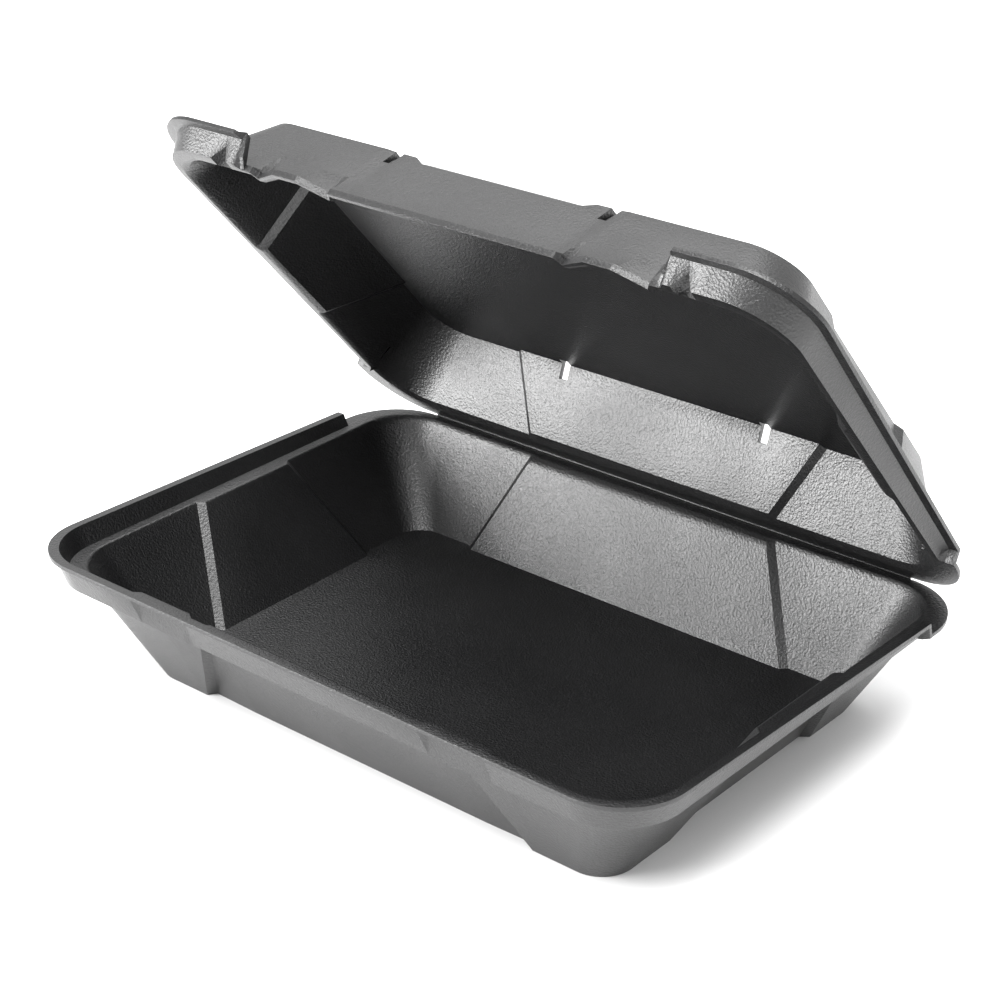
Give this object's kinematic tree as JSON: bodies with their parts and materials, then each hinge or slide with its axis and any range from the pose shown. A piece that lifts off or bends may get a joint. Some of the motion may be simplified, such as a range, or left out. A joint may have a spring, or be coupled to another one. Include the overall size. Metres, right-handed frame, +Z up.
{
  "type": "foam clamshell container",
  "caption": "Black foam food container: a deep rectangular tray and a shallower lid on one rear hinge, with a flanged rim, ribbed walls, snap lugs and vent slots.",
  "frame": {"origin": "centre of the tray's flat underside, on the table", "axes": "+X along the hinge line, +Y from the front edge back towards the hinge, +Z up"},
  "size_m": [0.235, 0.1712, 0.167],
  "materials": {
    "black_foam": "satin black foam sheet with a fine mottled grain"
  },
  "bodies": {
    "tray": {"tray": "black_foam"},
    "lid": {"lid": "black_foam"}
  },
  "joints": [
    {"name": "lid_hinge", "type": "hinge", "parent": "tray", "child": "lid", "pos_m": [0, 0.0785, 0.03635], "axis": [-1, 0, 0], "range_deg": [-49, 131]}
  ]
}
